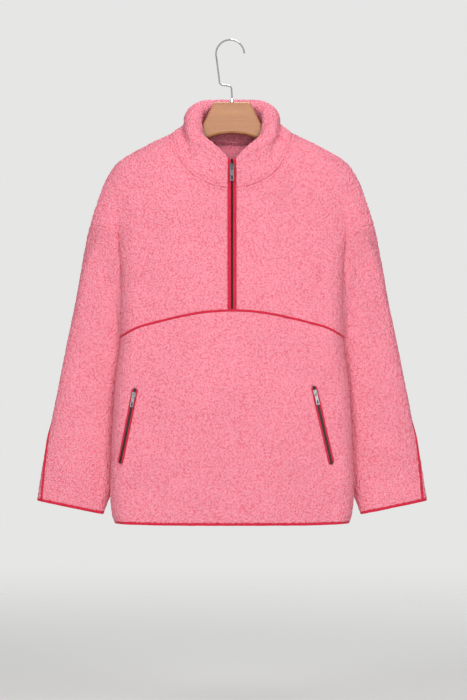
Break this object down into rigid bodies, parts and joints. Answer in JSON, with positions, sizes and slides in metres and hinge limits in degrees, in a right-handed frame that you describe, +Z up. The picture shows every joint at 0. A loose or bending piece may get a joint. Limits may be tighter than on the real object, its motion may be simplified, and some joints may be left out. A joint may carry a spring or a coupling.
{
  "type": "quarter-zip fleece on a wooden hanger",
  "caption": "Hip-length pile fleece pullover with a stand collar, short front zip, piped chest seam and slanted zip pockets, hanging flat on a wooden hanger with a wire hook.",
  "frame": {"origin": "inner top of the hanger's hook, where a rail carries it", "axes": "+Z up, the front of the garment faces -Y, +X is to the right seen from the front"},
  "size_m": [0.7172, 0.1277, 0.8943],
  "materials": {
    "fleece": "fine nubby pile, matt",
    "binding": "smooth folded tape, matt",
    "neck_tape": "flat woven tape",
    "zip": "dark zip coil",
    "gunmetal": "dark plated metal",
    "silver": "bright plated metal",
    "beech": "clear satin varnish",
    "chrome": "polished wire"
  },
  "bodies": {
    "garment": {"back": "fleece", "collar": "fleece", "lower_front": "fleece", "yoke_front_left": "fleece", "yoke_front_right": "fleece", "sleeve_front_left": "fleece", "sleeve_front_right": "fleece", "sleeve_back_left": "fleece", "sleeve_back_right": "fleece", "hem_binding": "binding", "cuff_binding_left": "binding", "cuff_binding_right": "binding", "yoke_piping": "binding", "sleeve_piping_left": "binding", "sleeve_piping_right": "binding", "zip_edge_left": "binding", "zip_edge_right": "binding", "pocket_binding_left": "binding", "pocket_binding_right": "binding", "neck_tape": "neck_tape", "zip_tape": "zip", "pocket_zip_left": "zip", "pocket_zip_right": "zip", "front_slider": "gunmetal", "pocket_left_slider": "silver", "pocket_right_slider": "silver", "hanger_board": "beech", "ferrule": "chrome", "hook": "chrome"},
    "front_tab": {"front_pull_tab": "gunmetal"},
    "pocket_left_tab": {"pocket_left_pull_tab": "silver"},
    "pocket_right_tab": {"pocket_right_pull_tab": "silver"}
  },
  "joints": [
    {"name": "front_tab_swing", "type": "hinge", "parent": "garment", "child": "front_tab", "pos_m": [0, -0.06608, -0.23416], "axis": [-1, 0, 0], "range_deg": [-12, 130]},
    {"name": "pocket_left_tab_swing", "type": "hinge", "parent": "garment", "child": "pocket_left_tab", "pos_m": [-0.18001, -0.04014, -0.65074], "axis": [-0.9764, 0.0949, 0.1938], "range_deg": [0, 150]},
    {"name": "pocket_right_tab_swing", "type": "hinge", "parent": "garment", "child": "pocket_right_tab", "pos_m": [0.15272, -0.04248, -0.64667], "axis": [-0.9712, -0.081, -0.224], "range_deg": [0, 150]}
  ]
}
